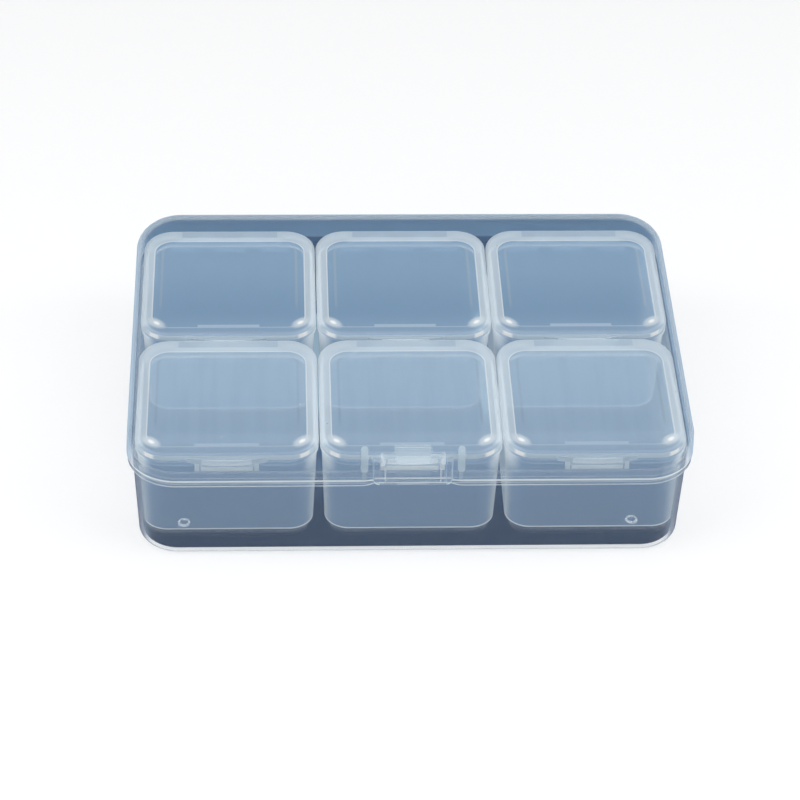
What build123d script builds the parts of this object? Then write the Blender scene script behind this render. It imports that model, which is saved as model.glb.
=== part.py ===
from build123d import *
import os

# Bead organizer: a clear hinged case that holds six small boxes, each with a hinged lid of its own.
# Frame: +Z up, the case stands on Z = 0, the middle of its footprint is the origin and the latch
# faces -Y. All lengths are millimetres.

# ---- Case, outside -------------------------------------------------------------------------
# The case is moulded to fit the boxes, so its size follows from theirs and the room around them.
side_room = 1.0             # from the outer boxes' lids to the case lid's skirt
front_room = 1.9            # more than the boxes' lips reach
back_room = 2.5
head_room = 3.4             # from the boxes' lids to the underside of the case's lid
rim_drop = 1.4              # the base's rim is this far below the skirts of the boxes' lids
seam_gap = 0.1
rim_corner = 11.2           # plan radius at the seam
shoulder_corner = 10.5      # plan radius where the top begins to round over
shoulder_inset = 0.25       # draft of the skirt, each side
top_round = 5.1
lid_wall = 1.0
lid_top_wall = 1.1

# ---- Case, base ----------------------------------------------------------------------------
base_wall = 0.9
base_floor = 1.3
base_draft = 1.0            # each side, from the rim to the foot
base_rim_height = 1.7       # the part of the base that the lid's skirt laps over
lap_clearance = 0.15
rim_bevel = 0.5             # inside the top of the rim
flange_height = 1.5
flange_inset = 0.2          # the flange stays this far inside the lid's edge
base_round = 1.6            # around the bottom edge
mark_radius = 1.2           # moulded ring marks on the floor, near its corners
mark_width = 0.35
mark_height = 0.3
mark_side_inset = 9.1       # from the floor's edges to the middle of a mark
mark_end_inset = 8.3

# ---- Case, hinge ---------------------------------------------------------------------------
hinge_offset = 34.0         # from the middle to each hinge
hinge_radius = 2.0
hinge_standoff = 0.45       # between the knuckle and the lid's back
knuckle_width = 7.0
lug_width = 2.4
hinge_side_gap = 0.2
hinge_pin_radius = 0.9
hinge_pin_clearance = 0.08

# ---- Case, latch ---------------------------------------------------------------------------
latch_width = 14.0
latch_gap = 0.25
latch_bulge = 1.3           # how far the thumb pad stands out from the skirt
latch_blend = 1.9           # width of the curve from the skirt out to the pad
latch_pad_height = 5.0      # straight part of the pad
latch_top_height = 6.6      # where the pad has run out into the skirt
neck_width = 7.8
neck_height = 7.9           # top of the bending neck above the seam
pocket_width = 12.1
pocket_height = 5.2
pocket_wall = 1.1
nose_width = 7.5
nose_height = 0.85
nose_reach = 0.45
sill_reach = 0.2            # the wall under the pocket, on both sides of the nose
catch_clearance = 0.1       # the catch's face is this far from the nose
thumb_notch = 16.6          # gap in the flange under the latch
thumb_notch_flare = 3.0     # the flange's ends run out over this length
stop_rib_offset = 10.6      # ribs beside the latch that rest on the base's rim
stop_rib_width = 1.6
stop_rib_reach = 1.3
stop_rib_top = 7.5          # above the seam
buttress_width = 1.1
buttress_reach = 0.4
buttress_height = 3.0

# ---- Small boxes ---------------------------------------------------------------------------
column_names = ["left", "middle", "right"]
row_names = ["front", "back"]
column_gap = 0.2            # between the lids of neighbouring boxes
row_gap = 1.4               # the front lips of the back row reach into it
box_height = 27.0           # with its lid on
box_lid_width = 40.2
box_lid_depth = 40.8
box_lid_height = 2.2
box_lid_top = 0.9
box_lid_corner = 6.9
box_lid_round = 1.2
side_overhang = 0.35        # of the lid over the box
front_overhang = 0.7
hinge_bay = 2.4             # room under the lid behind the box's back wall
box_wall = 0.9
box_floor = 1.2
box_side_draft = 0.85
box_end_draft = 1.95
box_corner = 6.5
box_bottom_corner = 5.4
box_bottom_round = 1.4
box_foot_height = 1.7
box_foot_inset = 1.2        # from the bottom outline to the foot ring
box_foot_width = 0.8
box_seat_gap = 0.1          # between the lid's skirt and the box's shoulder
box_rim_height = 1.25
box_rim_step = 0.4
box_fit = 0.1               # between the box's rim and the lid's skirt
ledge_height = 0.9          # the ledge under the lid's skirt, at the front and the sides
ledge_inset = 0.05          # from the lid's outline
ledge_room = 0.4            # on each side of the lid's snap tab
ledge_end = 9.0             # from the ledge's back end to the lid's back edge
back_skirt_wall = 0.8
plug_depth = 0.8
plug_wall = 1.1
plug_clearance = 0.15
plug_back_clearance = 0.4   # the plug swings past the back wall

# ---- Small boxes, snap and hinge -----------------------------------------------------------
lip_width = 18.0
lip_reach = 1.1
lip_height = 1.3
lip_drop = 0.9              # the lip's upper face below the lid's top
tab_width = 14.0
tab_wall = 0.5
tab_rib_width = 1.0
tab_length = 2.1            # below the lid's skirt
tab_gap = 0.1               # between the tab and the catch
bar_wall = 0.95             # thicker stretch of the plug behind the snap
box_catch_width = 11.5
box_catch_reach = 0.6
box_catch_height = 1.4
box_catch_drop = 0.8        # below the box's shoulder
box_pin_radius = 0.65
box_pin_inset = 1.35        # from the lid's back edge to the pin
box_pin_drop = 0.1          # below the lower edge of the lid's skirt
box_pin_clearance = 0.07
hinge_notch = 22.4          # gap in the lid's back skirt, spanned by the pin
pin_lug_width = 1.2
pin_lug_half = 0.6
hook_wall = 0.55
hook_width = 4.0
hook_offset = 5.5
hook_mouth = 1.05           # height of the mouth that the pin snaps in through
shelf_width = 28.0
shelf_drop = 2.4            # below the box's shoulder
shelf_height = 0.7
shelf_reach = 1.6

# ---- Sizes that follow ---------------------------------------------------------------------
column_pitch = box_lid_width + column_gap
row_pitch = box_lid_depth + row_gap
row_shift = (front_room - back_room) / 2
case_width = len(column_names) * column_pitch - column_gap + 2 * (side_room + lid_wall)
case_depth = len(row_names) * row_pitch - row_gap + front_room + back_room + 2 * lid_wall
case_height = base_floor + box_height + head_room + lid_top_wall
seam_z = base_floor + box_height - box_lid_height - rim_drop - base_rim_height
shoulder_z = case_height - top_round
base_top_z = seam_z + base_rim_height
flange_top_z = seam_z - seam_gap
flange_bottom_z = flange_top_z - flange_height
lid_inner_top_z = case_height - lid_top_wall
base_width = case_width - 2 * (lid_wall + lap_clearance)
base_depth = case_depth - 2 * (lid_wall + lap_clearance)
base_corner = rim_corner - lid_wall - lap_clearance
skirt_front_y = -case_depth / 2
base_front_y = -base_depth / 2
hinge_y = case_depth / 2 + hinge_standoff + hinge_radius
hinge_z = seam_z - seam_gap / 2

box_top_z = base_floor + box_height
skirt_z = box_top_z - box_lid_height
plate_z = box_top_z - box_lid_top
box_shoulder_z = skirt_z - box_seat_gap
box_rim_z = box_shoulder_z + box_rim_height
box_bottom_z = base_floor + box_foot_height
inner_floor_z = box_bottom_z + box_floor
box_width = box_lid_width - 2 * side_overhang
box_front = -box_lid_depth / 2 + front_overhang
box_back = box_lid_depth / 2 - hinge_bay
pin_y = box_lid_depth / 2 - box_pin_inset
pin_z = skirt_z - box_pin_drop


def rounded(width, front, back, corner, mode=Mode.ADD):
    """A rounded rectangle, centred left to right, from y = front to y = back."""
    with Locations((0, (front + back) / 2)):
        RectangleRounded(width, back - front, corner, mode=mode)


# ---- Case base: tapered walls, floor, flange, lap rim ---------------------------------------
with BuildPart() as outer_base:
    with BuildSketch():
        RectangleRounded(base_width - 2 * base_draft, base_depth - 2 * base_draft, base_corner - base_draft)
    with BuildSketch(Plane.XY.offset(base_top_z)):
        RectangleRounded(base_width, base_depth, base_corner)
    loft()
    fillet(outer_base.edges().group_by(Axis.Z)[0], base_round)

    # The flange stops short on both sides of the latch, so that a thumb reaches the latch's edge.
    with BuildSketch(Plane.XY.offset(flange_bottom_z)):
        RectangleRounded(case_width - 2 * flange_inset, case_depth - 2 * flange_inset, rim_corner - flange_inset)
        flange_front_y = skirt_front_y + flange_inset
        notch_half = thumb_notch / 2
        flare_half = notch_half + thumb_notch_flare
        with BuildLine():
            Line((-notch_half, base_front_y), (notch_half, base_front_y))
            TangentArc((flare_half, flange_front_y), (notch_half, base_front_y), tangent=(-1, 0))
            Polyline(
                (flare_half, flange_front_y),
                (flare_half, skirt_front_y),
                (-flare_half, skirt_front_y),
                (-flare_half, flange_front_y),
            )
            TangentArc((-flare_half, flange_front_y), (-notch_half, base_front_y), tangent=(1, 0))
        make_face(mode=Mode.SUBTRACT)
    extrude(amount=flange_height)

    # Inside, with the rim's inner edge bevelled, and the ring marks.
    inner_foot = base_wall + base_draft * (1 - base_floor / base_top_z)
    floor_width = base_width - 2 * inner_foot
    floor_depth = base_depth - 2 * inner_foot
    with BuildSketch(Plane.XY.offset(base_floor)):
        RectangleRounded(floor_width, floor_depth, base_corner - inner_foot)
    with BuildSketch(Plane.XY.offset(base_top_z)):
        RectangleRounded(base_width - 2 * base_wall, base_depth - 2 * base_wall, base_corner - base_wall)
    loft(mode=Mode.SUBTRACT)
    for bevel_z, wall in ((base_top_z - 2 * rim_bevel, base_wall), (base_top_z, base_wall - rim_bevel)):
        with BuildSketch(Plane.XY.offset(bevel_z)):
            RectangleRounded(base_width - 2 * wall, base_depth - 2 * wall, base_corner - wall)
    loft(mode=Mode.SUBTRACT)
    with BuildSketch(Plane.XY.offset(base_floor)):
        with GridLocations(floor_width - 2 * mark_side_inset, floor_depth - 2 * mark_end_inset, 2, 2):
            Circle(mark_radius)
            Circle(mark_radius - mark_width, mode=Mode.SUBTRACT)
    extrude(amount=mark_height)

    # The catch on the rim, and a buttress under each of the lid's stop ribs.
    with BuildSketch(Plane.YZ.offset(-nose_width / 2)):
        catch_y = skirt_front_y - latch_bulge + pocket_wall + nose_reach + catch_clearance
        catch_z = seam_z + nose_height + catch_clearance
        with BuildLine():
            Polyline(
                (base_front_y + base_wall / 2, catch_z),
                (catch_y, catch_z),
                (base_front_y, base_top_z),
                (base_front_y + base_wall / 2, base_top_z),
                close=True,
            )
        make_face()
    extrude(amount=nose_width)
    with BuildSketch(Plane.XY.offset(base_top_z)):
        with Locations((stop_rib_offset, 0), (-stop_rib_offset, 0)):
            with Locations((0, base_front_y + base_wall)):
                Rectangle(buttress_width, 2 * buttress_reach)
    extrude(amount=-buttress_height)

    # Hinge lugs, two for each knuckle, on short arms from the flange.
    for side in (-1, 1):
        for face in (-1, 1):
            lug_middle = side * hinge_offset + face * (knuckle_width / 2 + hinge_side_gap + lug_width / 2)
            with BuildSketch(Plane.YZ.offset(lug_middle - lug_width / 2)):
                with Locations((hinge_y, hinge_z)):
                    Circle(hinge_radius)
                arm_start = case_depth / 2 - flange_inset - base_wall
                with Locations(((arm_start + hinge_y) / 2, hinge_z - hinge_radius / 2)):
                    Rectangle(hinge_y - arm_start, hinge_radius)
                with Locations((hinge_y, hinge_z)):
                    Circle(hinge_pin_radius + hinge_pin_clearance, mode=Mode.SUBTRACT)
            extrude(amount=lug_width)

# ---- Case lid ------------------------------------------------------------------------------
# The blank is the lid with its thumb pad still in one piece. The latch is cut out of it.
with BuildPart() as lid_blank:
    with BuildSketch(Plane.XY.offset(seam_z)):
        RectangleRounded(case_width, case_depth, rim_corner)
    with BuildSketch(Plane.XY.offset(shoulder_z)):
        RectangleRounded(case_width - 2 * shoulder_inset, case_depth - 2 * shoulder_inset, shoulder_corner)
    loft()
    with BuildSketch(Plane.XY.offset(shoulder_z)):
        RectangleRounded(case_width - 2 * shoulder_inset, case_depth - 2 * shoulder_inset, shoulder_corner)
    extrude(amount=top_round)
    fillet(lid_blank.edges().group_by(Axis.Z)[-1], top_round - 0.01)

    # The pad: its plan runs out of the skirt in a curve, and its profile runs back in at the top.
    with BuildPart(mode=Mode.PRIVATE) as pad:
        pad_half = latch_width / 2
        root_half = pad_half + latch_gap + latch_blend
        root_y = skirt_front_y + lid_wall / 2 + shoulder_inset
        pad_y = skirt_front_y - latch_bulge
        with BuildSketch(Plane.XY.offset(seam_z)):
            with BuildLine():
                Line((-root_half, root_y), (root_half, root_y))
                Spline(
                    (root_half, root_y),
                    (pad_half + latch_gap, pad_y),
                    tangents=[(-0.6, -0.4), (-1, 0)],
                )
                Line((pad_half + latch_gap, pad_y), (-pad_half - latch_gap, pad_y))
                Spline(
                    (-pad_half - latch_gap, pad_y),
                    (-root_half, root_y),
                    tangents=[(-1, 0), (-0.6, 0.4)],
                )
            make_face()
        extrude(amount=latch_top_height)
        with BuildSketch(Plane.YZ.offset(-case_width / 4)):
            with BuildLine():
                Polyline(
                    (root_y, seam_z),
                    (pad_y, seam_z),
                    (pad_y, seam_z + latch_pad_height),
                )
                Spline(
                    (pad_y, seam_z + latch_pad_height),
                    (root_y, seam_z + latch_top_height),
                    tangents=[(0, 1), (1, 0.4)],
                )
                Line((root_y, seam_z + latch_top_height), (root_y, seam_z))
            make_face()
        extrude(amount=case_width / 2, mode=Mode.INTERSECT)
    add(pad.part)

    with BuildSketch(Plane.XY.offset(seam_z)):
        RectangleRounded(case_width - 2 * lid_wall, case_depth - 2 * lid_wall, rim_corner - lid_wall)
    with BuildSketch(Plane.XY.offset(shoulder_z)):
        shoulder_wall = lid_wall + shoulder_inset
        RectangleRounded(
            case_width - 2 * shoulder_wall, case_depth - 2 * shoulder_wall, shoulder_corner - lid_wall
        )
    loft(mode=Mode.SUBTRACT)
    with BuildPart(mode=Mode.PRIVATE) as crown:
        with BuildSketch(Plane.XY.offset(shoulder_z)):
            RectangleRounded(
                case_width - 2 * shoulder_wall, case_depth - 2 * shoulder_wall, shoulder_corner - lid_wall
            )
        extrude(amount=lid_inner_top_z - shoulder_z)
        fillet(crown.edges().group_by(Axis.Z)[-1], top_round - lid_top_wall - 0.1)
    add(crown.part, mode=Mode.SUBTRACT)


def latch_outline(gap):
    """The latch seen from the front: a wide pad under a narrow neck, grown by a gap all round."""
    wide = latch_width / 2 + gap
    narrow = neck_width / 2 + gap
    Polygon(
        (-wide, seam_z - 1),
        (wide, seam_z - 1),
        (wide, seam_z + latch_top_height + gap),
        (narrow, seam_z + latch_top_height + gap),
        (narrow, seam_z + neck_height + gap),
        (-narrow, seam_z + neck_height + gap),
        (-narrow, seam_z + latch_top_height + gap),
        (-wide, seam_z + latch_top_height + gap),
        align=None,
    )


latch_depth = top_round - lid_wall      # how far behind the skirt's front the latch's cut reaches
front_plane = Plane.XZ.offset(-skirt_front_y - latch_depth)

with BuildPart() as outer_lid:
    add(lid_blank.part)
    with BuildSketch(front_plane):
        latch_outline(latch_gap)
    extrude(amount=latch_depth + 2 * latch_bulge, mode=Mode.SUBTRACT)

    # Stop ribs inside the front, with round lower ends just above the base's rim.
    rib_back = -skirt_front_y - lid_wall - shoulder_inset - stop_rib_reach
    rib_bottom_z = base_top_z + seam_gap
    rib_top_z = seam_z + stop_rib_top
    with BuildSketch(Plane.XZ.offset(rib_back)):
        with Locations((stop_rib_offset, (rib_bottom_z + rib_top_z) / 2)):
            SlotOverall(rib_top_z - rib_bottom_z, stop_rib_width, rotation=90)
        with Locations((-stop_rib_offset, (rib_bottom_z + rib_top_z) / 2)):
            SlotOverall(rib_top_z - rib_bottom_z, stop_rib_width, rotation=90)
    extrude(amount=stop_rib_reach + lid_wall / 4)

    # Hinge knuckles with stub pins, on arms from the back of the skirt.
    for side in (-1, 1):
        with BuildSketch(Plane.YZ.offset(side * hinge_offset - knuckle_width / 2)):
            with Locations((hinge_y, hinge_z)):
                Circle(hinge_radius)
            arm_start = case_depth / 2 - lid_wall / 2
            arm_height = hinge_radius - seam_gap / 2
            with Locations(((arm_start + hinge_y) / 2, seam_z + arm_height / 2)):
                Rectangle(hinge_y - arm_start, arm_height)
        extrude(amount=knuckle_width)
        pin_half = knuckle_width / 2 + hinge_side_gap + lug_width
        with BuildSketch(Plane.YZ.offset(side * hinge_offset - pin_half)):
            with Locations((hinge_y, hinge_z)):
                Circle(hinge_pin_radius)
        extrude(amount=2 * pin_half)

with BuildPart() as front_latch:
    add(lid_blank.part)
    with BuildSketch(front_plane):
        latch_outline(0)
    extrude(amount=latch_depth + 2 * latch_bulge, mode=Mode.INTERSECT)

    # The pocket behind the pad, and the nose that hooks under the base's catch.
    pocket_back = -skirt_front_y + latch_bulge - pocket_wall
    with BuildSketch(Plane.XZ.offset(pocket_back)):
        with Locations((0, seam_z + pocket_height / 2)):
            Rectangle(pocket_width, pocket_height)
    extrude(amount=-(pocket_back + skirt_front_y + 2 * lid_wall), mode=Mode.SUBTRACT)
    with BuildSketch(Plane.XY.offset(seam_z)):
        with Locations((0, -pocket_back)):
            Rectangle(pocket_width, 2 * sill_reach)
    extrude(amount=nose_height)
    with BuildSketch(Plane.YZ.offset(-nose_width / 2)):
        with BuildLine():
            Polyline(
                (-pocket_back - pocket_wall / 2, seam_z),
                (-pocket_back + nose_reach / 3, seam_z),
                (-pocket_back + nose_reach, seam_z + nose_height / 2),
                (-pocket_back + nose_reach, seam_z + nose_height),
                (-pocket_back - pocket_wall / 2, seam_z + nose_height),
                close=True,
            )
        make_face()
    extrude(amount=nose_width)

pieces = {"outer_base": outer_base, "outer_lid": outer_lid, "front_latch": front_latch}

# ---- Six small boxes, each with its own lid --------------------------------------------------
for row, row_name in enumerate(row_names):
    for column, column_name in enumerate(column_names):
        cell_x = (column - (len(column_names) - 1) / 2) * column_pitch
        cell_y = (row - (len(row_names) - 1) / 2) * row_pitch + row_shift
        cell = Plane.XY.move(Location((cell_x, cell_y, 0)))
        cell_side = Plane(origin=(cell_x, cell_y, 0), x_dir=(0, 1, 0), z_dir=(1, 0, 0))

        with BuildPart() as box:
            # Tapered body, then the rim that the lid closes over.
            with BuildSketch(cell.offset(box_bottom_z)):
                rounded(
                    box_width - 2 * box_side_draft,
                    box_front + box_end_draft,
                    box_back - box_end_draft,
                    box_bottom_corner,
                )
            with BuildSketch(cell.offset(box_shoulder_z)):
                rounded(box_width, box_front, box_back, box_corner)
            loft()
            fillet(box.edges().group_by(Axis.Z)[0], box_bottom_round)
            with BuildSketch(cell.offset(box_shoulder_z)):
                rounded(
                    box_width - 2 * box_rim_step,
                    box_front + box_rim_step,
                    box_back - box_rim_step,
                    box_corner - box_rim_step,
                )
            extrude(amount=box_rim_height)

            # The ledge that the lid's skirt comes down to, open where the snap tab hangs.
            with BuildSketch(cell.offset(box_shoulder_z)):
                rounded(
                    box_lid_width - 2 * ledge_inset,
                    ledge_inset - box_lid_depth / 2,
                    box_lid_depth / 2 - ledge_end,
                    box_lid_corner - ledge_inset,
                )
                with Locations((0, -box_lid_depth / 2)):
                    Rectangle(tab_width + 2 * ledge_room, 2 * front_overhang, mode=Mode.SUBTRACT)
            extrude(amount=-ledge_height)

            # The foot ring that the box stands on.
            with BuildSketch(cell.offset(base_floor)):
                for inset in (box_foot_inset, box_foot_inset + box_foot_width):
                    rounded(
                        box_width - 2 * (box_side_draft + inset),
                        box_front + box_end_draft + inset,
                        box_back - box_end_draft - inset,
                        box_bottom_corner - inset,
                        Mode.ADD if inset == box_foot_inset else Mode.SUBTRACT,
                    )
            extrude(amount=box_foot_height)

            # The snap's catch in front, and behind it the shelf and hooks that hold the lid's pin.
            catch_top_z = box_shoulder_z - box_catch_drop
            with BuildSketch(cell_side.offset(-box_catch_width / 2)):
                with BuildLine():
                    Polyline(
                        (box_front + box_wall / 2, catch_top_z),
                        (box_front - box_catch_reach / 2, catch_top_z),
                        (box_front - box_catch_reach, catch_top_z - box_catch_height / 2),
                        (box_front - box_catch_reach, catch_top_z - box_catch_height),
                        (box_front + box_wall / 2, catch_top_z - box_catch_height),
                        close=True,
                    )
                make_face()
            extrude(amount=box_catch_width)
            shelf_z = box_shoulder_z - shelf_drop
            with BuildSketch(cell.offset(shelf_z)):
                with Locations((0, box_back - box_wall / 2 + (shelf_reach + box_wall / 2) / 2)):
                    Rectangle(shelf_width, shelf_reach + box_wall / 2)
            extrude(amount=-shelf_height)
            for hook_x in (-hook_offset, hook_offset):
                hook_radius = box_pin_radius + box_pin_clearance + hook_wall
                with BuildSketch(cell_side.offset(hook_x - hook_width / 2)):
                    with Locations((pin_y, pin_z)):
                        Circle(hook_radius)
                    with Locations((pin_y - hook_radius / 2, (shelf_z + pin_z) / 2)):
                        Rectangle(hook_radius, pin_z - shelf_z)
                    with Locations((pin_y, pin_z)):
                        Circle(box_pin_radius + box_pin_clearance, mode=Mode.SUBTRACT)
                    with Locations((pin_y + hook_radius / 2, pin_z)):
                        Rectangle(hook_radius, hook_mouth, mode=Mode.SUBTRACT)
                extrude(amount=hook_width)

            # The hollow.
            with BuildSketch(cell.offset(inner_floor_z)):
                taper = 1 - box_floor / (box_shoulder_z - box_bottom_z)
                rounded(
                    box_width - 2 * (box_wall + box_side_draft * taper),
                    box_front + box_wall + box_end_draft * taper,
                    box_back - box_wall - box_end_draft * taper,
                    box_bottom_corner - box_wall,
                )
            with BuildSketch(cell.offset(box_rim_z)):
                rounded(
                    box_width - 2 * box_wall,
                    box_front + box_wall,
                    box_back - box_wall,
                    box_corner - box_wall,
                )
            loft(mode=Mode.SUBTRACT)
        pieces[f"box_{row_name}_{column_name}"] = box

        with BuildPart() as box_lid:
            # Shallow cap with a rounded top edge.
            with BuildSketch(cell.offset(skirt_z)):
                rounded(box_lid_width, -box_lid_depth / 2, box_lid_depth / 2, box_lid_corner)
            extrude(amount=box_lid_height)
            fillet(box_lid.edges().group_by(Axis.Z)[-1], box_lid_round)

            # The thumb lip bows forward over the snap.
            lip_z = box_top_z - lip_drop - lip_height
            lid_front = -box_lid_depth / 2
            with BuildSketch(cell.offset(lip_z)):
                with BuildLine():
                    ThreePointArc(
                        (-lip_width / 2, lid_front),
                        (0, lid_front - lip_reach),
                        (lip_width / 2, lid_front),
                    )
                    Polyline(
                        (lip_width / 2, lid_front),
                        (lip_width / 2, lid_front + front_overhang),
                        (-lip_width / 2, lid_front + front_overhang),
                        (-lip_width / 2, lid_front),
                    )
                make_face()
            extrude(amount=lip_height)
            with BuildSketch(cell.offset(skirt_z)):
                skirt_front = box_front + box_rim_step - box_fit
                rounded(
                    box_width - 2 * (box_rim_step - box_fit),
                    skirt_front,
                    box_lid_depth / 2 - back_skirt_wall,
                    box_corner - box_rim_step + box_fit,
                )
            extrude(amount=plate_z - skirt_z, mode=Mode.SUBTRACT)

            # The plug ring under the top, with a thicker stretch behind the snap.
            plug_front = box_front + box_wall + plug_clearance
            plug_back = box_back - box_wall - plug_back_clearance
            with BuildSketch(cell.offset(plate_z)):
                rounded(
                    box_width - 2 * (box_wall + plug_clearance),
                    plug_front,
                    plug_back,
                    box_corner - box_wall - plug_clearance,
                )
                rounded(
                    box_width - 2 * (box_wall + plug_clearance + plug_wall),
                    plug_front + plug_wall,
                    plug_back - plug_wall,
                    box_corner - box_wall - plug_clearance - plug_wall,
                    Mode.SUBTRACT,
                )
                with Locations((0, plug_front + plug_wall + bar_wall / 2)):
                    Rectangle(tab_width, bar_wall)
            extrude(amount=-plug_depth)

            # The snap tab hangs from the lip, with a rib down each side.
            tab_back = box_front - box_catch_reach - tab_gap
            with BuildSketch(cell.offset(lip_z)):
                with Locations((0, tab_back - tab_wall / 2)):
                    Rectangle(tab_width, tab_wall)
            extrude(amount=-(lip_z - skirt_z + tab_length))
            with BuildSketch(cell.offset(skirt_z)):
                for rib_side in (-1, 1):
                    with Locations((rib_side * (tab_width - tab_rib_width) / 2, tab_back + box_catch_reach / 2)):
                        Rectangle(tab_rib_width, box_catch_reach)
            extrude(amount=-tab_length)

            # Back skirt open for the hooks, with the hinge pin across the opening.
            with BuildSketch(cell.offset(skirt_z)):
                with Locations((0, box_lid_depth / 2)):
                    Rectangle(hinge_notch, 2 * back_skirt_wall)
            extrude(amount=plate_z - skirt_z, mode=Mode.SUBTRACT)
            with BuildSketch(cell_side.offset(-hinge_notch / 2)):
                with Locations((pin_y, pin_z)):
                    Circle(box_pin_radius)
            extrude(amount=hinge_notch)
            for lug_start in (-hinge_notch / 2 - pin_lug_width, hinge_notch / 2):
                with BuildSketch(cell_side.offset(lug_start)):
                    with Locations((pin_y, (pin_z - box_pin_radius + plate_z) / 2)):
                        Rectangle(2 * pin_lug_half, plate_z - pin_z + box_pin_radius)
                extrude(amount=pin_lug_width)
        pieces[f"box_lid_{row_name}_{column_name}"] = box_lid

os.makedirs("parts", exist_ok=True)
for name, piece in pieces.items():
    piece.part.label = name
    export_step(piece.part, f"parts/{name}.step")
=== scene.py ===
import bpy
import numpy as np
from mathutils import Matrix, Vector

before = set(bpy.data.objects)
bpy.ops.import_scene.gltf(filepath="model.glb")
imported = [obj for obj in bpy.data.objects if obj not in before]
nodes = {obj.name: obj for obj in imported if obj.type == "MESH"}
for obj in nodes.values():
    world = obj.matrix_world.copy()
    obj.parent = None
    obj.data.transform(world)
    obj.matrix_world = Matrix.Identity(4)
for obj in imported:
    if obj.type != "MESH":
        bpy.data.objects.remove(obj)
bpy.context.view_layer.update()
scene = bpy.context.scene

# ---- Studio --------------------------------------------------------------------------------
# The camera stands a little left of the middle and looks down on the front at 39 degrees. The
# floor is pale paper. A large soft light hangs on each side, one above and one in front, two small
# lamps give glints on rounded edges, and the room itself is dim. Other glints are painted
# highlights.

picture_width = 800  # pixels
focal_length = 2960.12  # pixels
sensor_width = 36.0
camera_place = (-0.0298, -0.5320, 0.4435)
view_dir = Vector((0.0421, 0.7740, -0.6318)).normalized()
view_right = view_dir.cross(Vector((0.0051, 0.6321, 0.7748))).normalized()
view_up = view_right.cross(view_dir)
camera_data = bpy.data.cameras.new("camera")
camera_data.sensor_width = sensor_width
camera_data.lens = sensor_width * focal_length / picture_width
camera_data.clip_start, camera_data.clip_end = 0.05, 20.0
camera = bpy.data.objects.new("camera", camera_data)
turn = Matrix((view_right, view_up, -view_dir)).transposed()
camera.matrix_world = Matrix.Translation(camera_place) @ turn.to_4x4()
scene.collection.objects.link(camera)
scene.camera = camera

floor_reach, floor_z = 2.5, -0.0001  # a hair below the case, so that no two faces coincide
floor_corners = ((-1, -1), (1, -1), (1, 1), (-1, 1))
floor_mesh = bpy.data.meshes.new("floor")
floor_mesh.from_pydata(
    [(x * floor_reach, y * floor_reach, floor_z) for x, y in floor_corners], [], [(0, 1, 2, 3)]
)
floor = bpy.data.objects.new("floor", floor_mesh)
scene.collection.objects.link(floor)

floor_paper = bpy.data.materials.new("floor_paper")
floor_paper.use_nodes = True
paper_tree = floor_paper.node_tree
paper = paper_tree.nodes["Principled BSDF"]
paper.inputs["Base Color"].default_value = (0.93, 0.93, 0.93, 1)
paper.inputs["Roughness"].default_value = 0.7
paper.inputs["Specular IOR Level"].default_value = 0.1
paper.inputs["Emission Color"].default_value = (1, 1, 1, 1)
from_case = paper_tree.nodes.new("ShaderNodeVectorMath")
from_case.operation = "LENGTH"
far_glow = paper_tree.nodes.new("ShaderNodeMapRange")  # the far paper is as bright as the room
far_glow.interpolation_type = "SMOOTHSTEP"
for key, value in (("From Min", 0.4), ("From Max", 1.8), ("To Min", 0.0), ("To Max", 0.75)):
    far_glow.inputs[key].default_value = value
paper_place = paper_tree.nodes.new("ShaderNodeTexCoord").outputs["Object"]
paper_tree.links.new(paper_place, from_case.inputs[0])
paper_tree.links.new(from_case.outputs["Value"], far_glow.inputs["Value"])
paper_tree.links.new(far_glow.outputs["Result"], paper.inputs["Emission Strength"])
floor_mesh.materials.append(floor_paper)

room = bpy.data.worlds.new("room")
scene.world = room
room.use_nodes = True
room_tree = room.node_tree
backdrop = room_tree.nodes["Background"]  # what the camera sees past the floor
backdrop.inputs["Color"].default_value = (1, 1, 1, 1)
backdrop.inputs["Strength"].default_value = 0.95
dim = room_tree.nodes.new("ShaderNodeBackground")  # what lights and mirrors in the plastic
dim.inputs["Color"].default_value = (0.94, 0.97, 1, 1)
dim.inputs["Strength"].default_value = 0.19
either = room_tree.nodes.new("ShaderNodeMixShader")
path = room_tree.nodes.new("ShaderNodeLightPath")
room_tree.links.new(path.outputs["Is Camera Ray"], either.inputs[0])
room_tree.links.new(dim.outputs[0], either.inputs[1])
room_tree.links.new(backdrop.outputs[0], either.inputs[2])
room_tree.links.new(either.outputs[0], room_tree.nodes["World Output"].inputs["Surface"])


def soft_light(name, place, size, power):
    """A square area light of that size in metres at place, turned towards the origin."""
    lamp = bpy.data.lights.new(name, "AREA")
    lamp.size, lamp.energy = size, power
    lamp_object = bpy.data.objects.new(name, lamp)
    aim = (-Vector(place)).to_track_quat("-Z", "Y").to_matrix()
    lamp_object.matrix_world = Matrix.Translation(place) @ aim.to_4x4()
    scene.collection.objects.link(lamp_object)


soft_light("left_light", (-0.75, -0.25, 0.85), 0.7, 5.2)
soft_light("right_light", (0.75, -0.25, 0.85), 0.7, 5.2)
soft_light("top_light", (0, 0.1, 1.1), 1.0, 4.3)
soft_light("front_light", (0, -1.1, 0.6), 0.8, 1.6)
soft_light("left_glint", (-0.89, -0.09, 0.63), 0.1, 1.0)
soft_light("right_glint", (0.93, -0.12, 0.63), 0.1, 1.0)

scene.cycles.transparent_max_bounces = 48  # a sight line crosses many thin walls
scene.cycles.max_bounces = 12
scene.view_settings.view_transform = "Standard"


# ---- Case base -----------------------------------------------------------------------------
# The lower tray: tapered walls, a flange that stops the lid and a rim inside it, injection moulded
# in one piece in natural polypropylene. That is nearly clear where a wall is met head on, pale in
# its thick edges, and smoky blue where one looks into the case.

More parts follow.
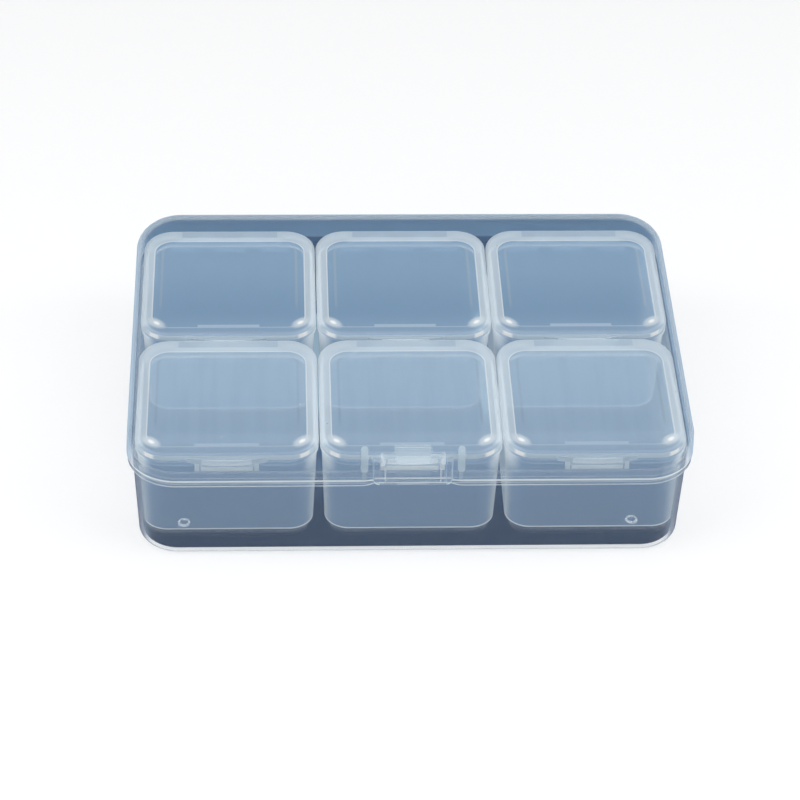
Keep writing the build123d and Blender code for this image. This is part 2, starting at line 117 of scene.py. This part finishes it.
class Field:
    """A number that changes over a surface. Arithmetic on it adds Math nodes to its node tree."""

    def __init__(self, tree, socket):
        self.tree, self.socket = tree, socket

    def op(self, operation, *others):
        node = self.tree.nodes.new("ShaderNodeMath")
        node.operation = operation
        for slot, value in enumerate((self, *others)):
            if isinstance(value, Field):
                self.tree.links.new(value.socket, node.inputs[slot])
            else:
                node.inputs[slot].default_value = value
        return Field(self.tree, node.outputs[0])

    def __add__(self, other):
        return self.op("ADD", other)

    def __sub__(self, other):
        return self.op("SUBTRACT", other)

    def __mul__(self, other):
        return self.op("MULTIPLY", other)

    def flip(self):
        """1 minus the field."""
        return (self * -1.0) + 1.0

    def size(self):
        return self.op("ABSOLUTE")

    def least(self, other):
        return self.op("MINIMUM", other)

    def most(self, other):
        return self.op("MAXIMUM", other)

    def ramp(self, low, high, start=0.0, end=1.0):
        """start below low, end above high, and smooth between them."""
        node = self.tree.nodes.new("ShaderNodeMapRange")
        node.interpolation_type = "SMOOTHSTEP"
        self.tree.links.new(self.socket, node.inputs["Value"])
        node.inputs["From Min"].default_value, node.inputs["From Max"].default_value = low, high
        node.inputs["To Min"].default_value, node.inputs["To Max"].default_value = start, end
        return Field(self.tree, node.outputs["Result"])

    def band(self, low, high, soft):
        """1 between low and high, fading to 0 over soft outside them."""
        return self.ramp(low - soft, low) * self.ramp(high, high + soft).flip()


def place(tree):
    """x, y and z in millimetres from the middle of the case's underside."""
    spot = tree.nodes.new("ShaderNodeTexCoord").outputs["Object"]
    scaled = tree.nodes.new("ShaderNodeVectorMath")
    scaled.operation = "SCALE"
    scaled.inputs["Scale"].default_value = 1000.0
    tree.links.new(spot, scaled.inputs[0])
    axes = tree.nodes.new("ShaderNodeSeparateXYZ")
    tree.links.new(scaled.outputs[0], axes.inputs[0])
    return [Field(tree, axes.outputs[axis]) for axis in "XYZ"]


def shared_effect(name, inputs, outputs):
    """A node group with number inputs and the given outputs, and its two end nodes."""
    group = bpy.data.node_groups.new(name, "ShaderNodeTree")
    for key, value in inputs.items():
        socket = group.interface.new_socket(key, in_out="INPUT", socket_type="NodeSocketFloat")
        socket.default_value = value
    for key, kind in outputs.items():
        group.interface.new_socket(key, in_out="OUTPUT", socket_type=kind)
    return group, group.nodes.new("NodeGroupInput"), group.nodes.new("NodeGroupOutput")


# Looking into the case: 1 on surfaces that face its middle, and how upright each surface is.
case_middle = 16.0  # height of the middle of the case, in millimetres
inward, _, result = shared_effect(
    "inward", {}, {"Inner": "NodeSocketFloat", "Upright": "NodeSocketFloat"}
)
surface = inward.nodes.new("ShaderNodeNewGeometry")
from_middle = inward.nodes.new("ShaderNodeVectorMath")
from_middle.operation = "SUBTRACT"
from_middle.inputs[1].default_value = (0, 0, case_middle / 1000)
inward.links.new(inward.nodes.new("ShaderNodeTexCoord").outputs["Object"], from_middle.inputs[0])
along = inward.nodes.new("ShaderNodeVectorMath")
along.operation = "DOT_PRODUCT"
inward.links.new(from_middle.outputs[0], along.inputs[0])
inward.links.new(surface.outputs["True Normal"], along.inputs[1])
tilt = inward.nodes.new("ShaderNodeSeparateXYZ")
inward.links.new(surface.outputs["True Normal"], tilt.inputs[0])
faces_in = Field(inward, along.outputs["Value"]).op("LESS_THAN", 0.0)
inward.links.new(faces_in.socket, result.inputs["Inner"])
inward.links.new(Field(inward, tilt.outputs["Z"]).size().flip().socket, result.inputs["Upright"])

# Signs of moulding and use: cloudy streaks along the flow of the plastic, from front to back, and
# a few tiny specks.
streak_depth = 0.03
wear, given, result = shared_effect(
    "wear", {"Speck Size": 0.035}, {"Streaks": "NodeSocketFloat", "Specks": "NodeSocketFloat"}
)
spot = wear.nodes.new("ShaderNodeTexCoord").outputs["Object"]
drawn = wear.nodes.new("ShaderNodeMapping")
drawn.inputs["Scale"].default_value = (420.0, 35.0, 120.0)
wear.links.new(spot, drawn.inputs["Vector"])
streak = wear.nodes.new("ShaderNodeTexNoise")
streak.inputs["Scale"].default_value = 1.0
streak.inputs["Detail"].default_value = 3.0
wear.links.new(drawn.outputs[0], streak.inputs["Vector"])
wear.links.new(Field(wear, streak.outputs["Fac"]).ramp(0.25, 0.75).socket, result.inputs["Streaks"])
cells = wear.nodes.new("ShaderNodeTexVoronoi")
cells.inputs["Scale"].default_value = 170.0
wear.links.new(spot, cells.inputs["Vector"])
near = Field(wear, cells.outputs["Distance"]) - Field(wear, given.outputs["Speck Size"])
chosen = wear.nodes.new("ShaderNodeSeparateXYZ")
wear.links.new(cells.outputs["Color"], chosen.inputs[0])
few = Field(wear, chosen.outputs["X"]).ramp(0.72, 0.74)
wear.links.new((near.ramp(-0.012, 0.012).flip() * few).socket, result.inputs["Specks"])


def tone(red, green, blue):
    """A screen colour from 0 to 255 as the linear colour that a shader takes."""
    screen = np.array([red, green, blue]) / 255
    return (*np.where(screen < 0.04045, screen / 12.92, ((screen + 0.055) / 1.055) ** 2.4), 1.0)


slate = tone(52, 84, 120)
# The next colour is painted shade: the darker floor at the front of the case and under the boxes.
floor_shade_slate = tone(32, 54, 84)
haze = tone(172, 197, 218)
# The next colour is for tiny specks and for painted highlights along edges.
speck_and_highlight_white = tone(232, 240, 243)
glint_white = tone(255, 255, 252)


solid, through_light = 0.975, 0.15  # alpha of a full layer; share of it that shadow rays meet
flange_low, flange_high, skirt_low = 21.4, 22.9, 23.0  # heights in millimetres


def clear_plastic(
    name, alpha, layers, specks=0.3, back_edges=0.0, rough=0.14, stands_at=None, shell=None
):
    """Plastic built up in layers over a thin haze of the given alpha. layers(tree, inner, upright,
    facing, edge) lists (mask, colour, alpha), each of which covers what is under it where its
    mask is 1. back_edges is the alpha of rolled edges that are seen through the wall. stands_at is
    the height of the surface under the piece: two faces at one height are drawn as one, so the
    piece's foot is painted from both sides there. shell is the colour and alpha of the outer
    faces, and of the edges under the flange and the skirt, where a sight line leaves through them.
    It shows only where that line has run along inside a wall. A face seen from its back has its
    normal turned round, so there the outer faces count as inner."""
    material = bpy.data.materials.new(name)
    material.use_nodes = True
    tree = material.node_tree
    shader = tree.nodes["Principled BSDF"]
    sides = tree.nodes.new("ShaderNodeGroup")
    sides.node_tree = inward
    used = tree.nodes.new("ShaderNodeGroup")
    used.node_tree = wear
    weight = tree.nodes.new("ShaderNodeLayerWeight")
    weight.inputs["Blend"].default_value = 0.5
    facing = Field(tree, weight.outputs["Facing"])
    back = Field(tree, tree.nodes.new("ShaderNodeNewGeometry").outputs["Backfacing"])
    inner, upright = Field(tree, sides.outputs["Inner"]), Field(tree, sides.outputs["Upright"])
    edge = None
    if back_edges:
        rolled = tree.nodes.new("ShaderNodeGroup")
        rolled.node_tree = edge_roll
        rolled.inputs["Radius"].default_value = 0.0002
        edge = Field(tree, rolled.outputs["Edge"])
    stack = layers(tree, inner, upright, facing, edge)
    if shell:
        x, y, z = place(tree)
        under = z.band(flange_low - 0.1, skirt_low + 0.1, 0.1) * y.ramp(-38.0, -30.0)
        under = under * upright.ramp(0.2, 0.5).flip()
        leaving = back * inner.most(under) * z.ramp(0.3, 1.0)
        stack.append((leaving, *shell))
    if specks:
        stack.append((Field(tree, used.outputs["Specks"]), speck_and_highlight_white, specks))
    colour = None
    streaks = Field(tree, used.outputs["Streaks"])
    amount = streaks.ramp(0.0, 1.0, alpha * (1 - streak_depth), alpha * (1 + streak_depth))
    for mask, layer_colour, layer_alpha in stack:
        mix = tree.nodes.new("ShaderNodeMix")
        mix.data_type = "RGBA"
        tree.links.new(mask.socket, mix.inputs[0])
        if colour is None:
            mix.inputs[6].default_value = haze
        else:
            tree.links.new(colour, mix.inputs[6])
        mix.inputs[7].default_value = layer_colour
        colour = mix.outputs[2]
        amount = amount + mask * (amount * -1.0 + layer_alpha)
    tree.links.new(colour, shader.inputs["Base Color"])
    seen = back.flip()
    amount = amount * seen
    if back_edges:
        amount = amount + back * edge * back_edges
    if shell:
        amount = amount.most(leaving * shell[1])
    if stands_at is not None:
        standing = place(tree)[2].ramp(stands_at + 0.01, stands_at + 0.05).flip()
        amount = amount.most(back * standing * solid)
    direct = Field(tree, tree.nodes.new("ShaderNodeLightPath").outputs["Is Camera Ray"])
    amount = amount * direct.ramp(0.0, 1.0, through_light, 1.0)
    tree.links.new(amount.socket, shader.inputs["Alpha"])
    shader.inputs["Roughness"].default_value = 0.35
    shader.inputs["Specular IOR Level"].default_value = 0.0
    gloss = tree.nodes.new("ShaderNodeBsdfGlossy")
    gloss.inputs["Roughness"].default_value = rough
    mirror = tree.nodes.new("ShaderNodeFresnel")
    mirror.inputs["IOR"].default_value = 1.3
    if back_edges:
        tree.links.new(rolled.outputs["Normal"], gloss.inputs["Normal"])
        tree.links.new(rolled.outputs["Normal"], mirror.inputs["Normal"])
    both = tree.nodes.new("ShaderNodeMixShader")
    shine = Field(tree, mirror.outputs[0]) * facing.ramp(0.7, 0.95).flip()
    tree.links.new((shine * seen * direct).socket, both.inputs[0])
    tree.links.new(shader.outputs[0], both.inputs[1])
    tree.links.new(gloss.outputs[0], both.inputs[2])
    tree.links.new(both.outputs[0], tree.nodes["Material Output"].inputs["Surface"])
    return material


def finish(names, material):
    """Give the named CAD pieces this material alone."""
    for name in names:
        nodes[name].data.materials.clear()
        nodes[name].data.materials.append(material)


case_floor = 1.3  # top of the floor; all sizes are in millimetres
rim_low, rim_high = 24.35, 25.2
lane_middle, lane_half = 20.2, 0.8  # the strip of floor between two boxes
mark_x, mark_y, mark_in, mark_out = 50.4, 33.4, 0.95, 1.35  # four moulded rings on the floor


def base_layers(tree, inner, upright, facing, edge):
    x, y, z = place(tree)
    outer = inner.flip()
    flat, front = upright.ramp(0.02, 0.1).flip(), y.ramp(-28.0, -36.0)
    bottom = z.band(-1.0, 0.85, 0.2) * outer * flat.flip()
    underside = z.ramp(0.2, 0.4).flip() * flat
    # painted shade: inner faces low down and towards the front are darker
    depth = z.ramp(4.0, 18.0).flip() * y.ramp(-10.0, -30.0)
    shown = front * outer * upright.ramp(0.3, 0.6) * facing.ramp(0.5, 0.85).flip()
    # painted highlights: pale lines along the flange's edges at the front, and a faint one on the
    # rim
    flange = z.band(flange_low - 0.1, flange_low + 0.2, 0.15)
    flange = flange.most(z.band(flange_high - 0.3, flange_high + 0.05, 0.1)) * shown
    rim = z.band(rim_low, rim_high, 0.1) * front
    # painted light: the floor strips between the boxes at the back are paler
    lit_lane = (x.size() - lane_middle).size().ramp(lane_half, lane_half + 1.0).flip()
    lit_lane = lit_lane * y.ramp(0.0, 8.0) * z.ramp(2.0, 3.0).flip()
    off_x, off_y = x.size() - mark_x, y.size() - mark_y
    to_mark = (off_x * off_x + off_y * off_y).op("SQRT")
    marks = to_mark.band(mark_in, mark_out, 0.12) * z.band(case_floor - 0.1, case_floor + 0.4, 0.02)
    return [
        (inner, slate, solid),
        (inner * depth, floor_shade_slate, solid),
        (inner * lit_lane, tone(150, 176, 192), solid),
        # painted light: the upper side walls inside are paler
        (inner * x.size().ramp(57.0, 59.0) * z.ramp(12.0, 18.0), tone(150, 172, 192), 0.95),
        (facing.ramp(0.45, 0.75) * outer, tone(86, 106, 132), 0.9),
        (facing.ramp(0.88, 0.97) * outer, tone(62, 80, 104), 0.9),
        (underside, tone(122, 146, 172), 0.8),
        (bottom, tone(216, 219, 222), 0.88),
        (flange, speck_and_highlight_white, 0.6),
        (rim, speck_and_highlight_white, 0.13),
        (marks, tone(255, 255, 255), 1.0),
    ]


base_shell = (tone(112, 134, 160), 0.85)
finish(["outer_base"], clear_plastic("base_plastic", 0.05, base_layers, shell=base_shell))

# ---- Case lid and latch --------------------------------------------------------------------
# A domed lid with an upright skirt, in the same plastic, hung on two pins at the back. The latch
# is moulded with it: a pad on a short bending neck, with a pocket behind it. A thick rib on each
# side of the latch rests on the base.

# Moulded edges are never sharp: a normal that rolls over each edge, and a mask of where it does.
edge_roll, given, result = shared_effect(
    "edge_roll", {"Radius": 0.0002}, {"Normal": "NodeSocketVector", "Edge": "NodeSocketFloat"}
)
roll = edge_roll.nodes.new("ShaderNodeBevel")
roll.samples = 4
edge_roll.links.new(given.outputs["Radius"], roll.inputs["Radius"])
alike = edge_roll.nodes.new("ShaderNodeVectorMath")
alike.operation = "DOT_PRODUCT"
edge_roll.links.new(roll.outputs[0], alike.inputs[0])
edge_roll.links.new(edge_roll.nodes.new("ShaderNodeNewGeometry").outputs["Normal"], alike.inputs[1])
at_edge = Field(edge_roll, alike.outputs["Value"]).ramp(0.8, 0.99).flip()
edge_roll.links.new(at_edge.socket, result.inputs["Edge"])
edge_roll.links.new(roll.outputs[0], result.inputs["Normal"])


def rounded_distance(x, y, half_x, half_y, corner):
    """Distance from the outline of a rounded rectangle about (0, 0), negative inside it:
    the length of what is outside the corner's centre, less the corner's radius."""
    over_x = x.size() - (half_x - corner)
    over_y = y.size() - (half_y - corner)
    far_x, far_y = over_x.most(0.0), over_y.most(0.0)
    outside = (far_x * far_x + far_y * far_y).op("SQRT")
    return outside + over_x.most(over_y).least(0.0) - corner


rib_x, rib_z, rib_half_x, rib_half_z, rib_round = 10.52, 28.4, 0.78, 3.0, 0.6
rib_foot_low, rib_foot_high = 23.3, 25.5  # a narrower pale strip painted on the skirt below each rib


def lid_layers(tree, inner, upright, facing, edge):
    x, y, z = place(tree)
    outer = inner.flip()
    # painted highlight: a pale line along the skirt's lower edge at the front
    seam = z.band(skirt_low - 0.1, skirt_low + 0.25, 0.12) * y.ramp(-28.0, -36.0)
    seam = seam * outer * facing.ramp(0.5, 0.85).flip()
    front = y.ramp(-41.0, -42.0) * outer
    to_rib = rounded_distance(x.size() - rib_x, z - rib_z, rib_half_x, rib_half_z, rib_round)
    rib = to_rib.ramp(-0.05, 0.12).flip() * front
    foot = x.size().band(rib_x - 0.42, rib_x + 0.43, 0.1) * front
    foot = foot * z.band(rib_foot_low, rib_foot_high, 0.1)
    return [
        (upright.ramp(0.6, 0.95) * outer, haze, 0.15),
        (inner * upright.ramp(0.02, 0.1), tone(106, 142, 176), 0.95),
        (facing.ramp(0.5, 0.9), tone(158, 186, 212), 0.85),
        (facing.ramp(0.93, 0.99) * outer, tone(78, 92, 114), 0.85),
        (seam, speck_and_highlight_white, 0.75),
        (foot, tone(190, 208, 222), 0.35),
        (rib, tone(184, 202, 212), 0.6),
        # painted highlight: pale rolled edges round the latch
        (edge * x.size().ramp(11.5, 12.5).flip() * front, speck_and_highlight_white, 0.5),
    ]


lid_shell = (tone(154, 178, 199), 0.8)
finish(
    ["outer_lid"],
    clear_plastic("lid_plastic", 0.06, lid_layers, back_edges=0.1, rough=0.3, shell=lid_shell),
)

neck_half, neck_low, neck_high = 3.75, 28.9, 30.9
nose_half, nose_low, nose_high = 3.5, 23.1, 23.8
pocket_in, pocket_out, pocket_low, pocket_high = 5.9, 6.2, 23.7, 28.0
tip_x, tip_z = 6.7, 29.0  # upper corners of the pad, where a glint is painted


def latch_layers(tree, inner, upright, facing, edge):
    x, y, z = place(tree)
    across = x.size()
    neck = across.ramp(neck_half, neck_half + 0.1).flip() * z.band(neck_low, neck_high, 0.1)
    nose = across.ramp(nose_half, nose_half + 0.1).flip() * z.band(nose_low, nose_high, 0.1)
    pocket = across.band(pocket_in, pocket_out, 0.1) * z.band(pocket_low, pocket_high, 0.1)
    off_x, off_z = across - tip_x, z - tip_z
    tip_glint = (off_x * off_x + off_z * off_z).ramp(0.1, 0.9).flip()
    return [
        (facing.ramp(0.5, 0.95), tone(150, 170, 188), 0.35),
        (neck * inner.flip(), tone(190, 208, 218), 0.42),
        (nose, tone(190, 206, 216), 0.5),
        # painted highlights: pale pocket lines and rolled edges, partly the real edges, and a glint
        # at each upper corner of the pad
        (pocket * y.ramp(-45.5, -45.8), speck_and_highlight_white, 0.3),
        (tip_glint, speck_and_highlight_white, 0.3),
        (edge * facing.ramp(0.8, 0.95).flip(), speck_and_highlight_white, 0.5),
    ]


finish(["front_latch"], clear_plastic("latch_plastic", 0.1, latch_layers, back_edges=0.6))

# ---- Small boxes ---------------------------------------------------------------------------
# Six tapered boxes in the same plastic, each with a thin rim and a foot ring, stand loose on the
# case's floor. Their walls are thinner than the case's and a little cloudier, most of all where
# the corners turn away.

cell_half_x, cell_half_y, cell_shift = 20.2, 21.1, 21.4  # half the pitch; the front row's place
box_middle, box_foot_high, inner_floor = 15.0, 3.0, 4.2
ledge_low, ledge_high, catch_half, catch_low, catch_high = 25.05, 25.3, 5.7, 23.85, 25.1


def cell_place(tree):
    """x and y in millimetres from the middle of the small box, whichever of the six it is."""
    x, y, z = place(tree)
    cell_y = (y + cell_shift).op("WRAP", cell_half_y, -cell_half_y)
    return x.op("WRAP", cell_half_x, -cell_half_x), cell_y, z


def outward(tree, x, y, z):
    """1 on surfaces that face away from the middle of a small box: the sign of the dot product
    of the surface's normal and the way from that middle."""
    axes = tree.nodes.new("ShaderNodeSeparateXYZ")
    surface = tree.nodes.new("ShaderNodeNewGeometry")
    tree.links.new(surface.outputs["True Normal"], axes.inputs[0])
    normal = [Field(tree, axes.outputs[axis]) for axis in "XYZ"]
    along = normal[0] * x + normal[1] * y + normal[2] * (z - box_middle)
    return along.op("GREATER_THAN", 0.0)


def box_layers(tree, inner, upright, facing, edge):
    x, y, z = cell_place(tree)
    outer = outward(tree, x, y, z)
    wall = z.ramp(inner_floor + 0.1, inner_floor + 0.4) * outer
    corner = facing.ramp(0.42, 0.78) * wall
    # painted highlight: a bright line along the rounded bottom edge
    bottom = z.band(inner_floor + 0.4, inner_floor + 0.6, 0.15) * outer
    behind = y.ramp(16.0, 17.5) * upright.ramp(0.3, 0.6)
    neighbour = x.size().ramp(16.0, 19.0).most(behind) * z.ramp(19.0, 24.0) * outer
    ledge = z.band(ledge_low, ledge_high, 0.08) * y.ramp(-19.0, -19.8)
    catch = x.size().ramp(catch_half, catch_half + 0.1).flip() * y.ramp(-19.8, -19.9)
    catch = catch * z.band(catch_low, catch_high, 0.1)
    return [
        (z.ramp(box_foot_high, box_foot_high + 0.05).flip(), haze, 0.03),
        # the foot takes the floor's painted shade, as its face and the floor's are drawn as one
        (z.ramp(case_floor + 0.01, case_floor + 0.05).flip(), floor_shade_slate, solid),
        (outer.flip() * upright.ramp(0.7, 0.95) * z.ramp(5.0, 22.0), tone(190, 210, 222), 0.38),
        (wall, tone(146, 178, 210), 0.52),
        (corner, tone(196, 212, 222), 0.6),
        (neighbour, tone(225, 236, 242), 0.85),
        (bottom, speck_and_highlight_white, 0.85),
        (ledge, tone(190, 210, 226), 0.5),
        (catch, tone(215, 227, 232), 0.8),
    ]


boxes = [name for name in nodes if name.startswith("box_") and not name.startswith("box_lid")]
box_plastic = clear_plastic("box_plastic", 0.08, box_layers, rough=0.45, stands_at=case_floor)
finish(boxes, box_plastic)

# ---- Small box lids ------------------------------------------------------------------------
# A shallow moulded cap on a pin at the back, with a ring that plugs the box and a tab that snaps
# over its catch. Ring, skirt and the box's rim stand close together, so the lid has a pale frame
# round a clearer window.

lid_half_x, lid_half_y, lid_round = 20.1, 20.4, 6.9
window_half_x, window_half_y, window_round, window_shift = 17.55, 16.6, 4.35, 0.98
roll_low, roll_high, lid_low = 26.8, 27.75, 26.0  # the rounded shoulder and the skirt's edge
bar_half, bar_front, bar_back = 7.0, -17.5, -16.65  # a raised bar over the snap tab
notch_half, rib_in, rib_out = 11.2, 6.0, 7.05
tab_half, tab_low, tab_high = 5.6, 23.9, 25.1


def box_lid_layers(tree, inner, upright, facing, edge):
    x, y, z = cell_place(tree)
    case_y = place(tree)[1]
    to_edge = rounded_distance(x, y, lid_half_x, lid_half_y, lid_round)
    to_window = rounded_distance(
        x, y + window_shift, window_half_x, window_half_y, window_round
    )
    border = to_window.ramp(-0.05, 0.15)
    front = y.ramp(-15.5, -18.5)
    side = front.flip()
    line = to_window.band(-0.08, 0.08, 0.12)
    shoulder = to_edge.ramp(-1.2, -0.6)
    across, along = x.size() - y - 32.3, x.size() + y - 0.6  # from each front corner's glint
    # painted highlights: a soft glow and a bright glint at each front corner of the window
    glow = (across * across * 0.5 + along * along * 0.15).ramp(0.0, 3.0).flip()
    glint = (across * across * 1.6 + along * along * 0.5).ramp(0.0, 1.4).flip()
    reveal = to_window.band(-2.0, -1.8, 0.4) * y.ramp(12.0, 14.5).flip() * y.ramp(-12.0, -8.0)
    slope = to_edge.ramp(-1.5, -0.9) * front
    rolled = to_edge.ramp(-0.8, -0.5) * front
    # painted highlight: a pale band along the rounded front shoulder, with a glint near each corner
    roll = z.band(roll_low, roll_high, 0.15) * rolled
    roll_glint = z.band(roll_low, roll_high - 0.15, 0.2) * rolled * x.size().band(16.3, 17.6, 0.8)
    bar = x.size().ramp(bar_half, bar_half + 0.1).flip() * y.band(bar_front, bar_back, 0.1)
    skirt = z.ramp(lid_low, lid_low + 0.1)
    lip = y.ramp(-20.45, -20.5) * skirt
    snap = x.size().ramp(tab_half, tab_half + 0.1).flip() * z.band(tab_low, tab_high, 0.1)
    tab = (x.size().band(rib_in, rib_out, 0.05) + snap) * skirt.flip()
    notch = x.size().ramp(notch_half, notch_half + 0.1).flip() * y.ramp(17.0, 17.4)
    return [
        # painted shade: the back row's lids are a darker blue than the front row's
        (case_y.ramp(-6.0, 10.0), tone(146, 181, 212), 0.52),
        (border * side, tone(208, 221, 230), 0.66),
        (notch * side, tone(190, 207, 220), 0.66),
        (shoulder * side, tone(218, 230, 238), 0.72),
        (bar, tone(185, 206, 224), 0.68),
        # painted highlight: pale lines along the window's edge
        (line * side, speck_and_highlight_white, 0.72),
        (line * front, tone(200, 218, 235), 0.60),
        (slope, tone(165, 186, 206), 0.6),
        (reveal, tone(172, 195, 214), 0.5),
        (glow, tone(225, 234, 238), 0.75),
        (glint, glint_white, 0.92),
        (roll, tone(200, 216, 226), 0.72),
        (roll_glint, glint_white, 0.9),
        (lip, tone(196, 212, 222), 0.6),
        (tab, tone(208, 221, 228), 0.72),
        (facing.ramp(0.75, 0.98), tone(215, 228, 236), 0.6),
    ]


box_lids = [name for name in nodes if name.startswith("box_lid")]
box_lid_plastic = clear_plastic("box_lid_plastic", 0.56, box_lid_layers, specks=0.5, rough=0.1)
finish(box_lids, box_lid_plastic)
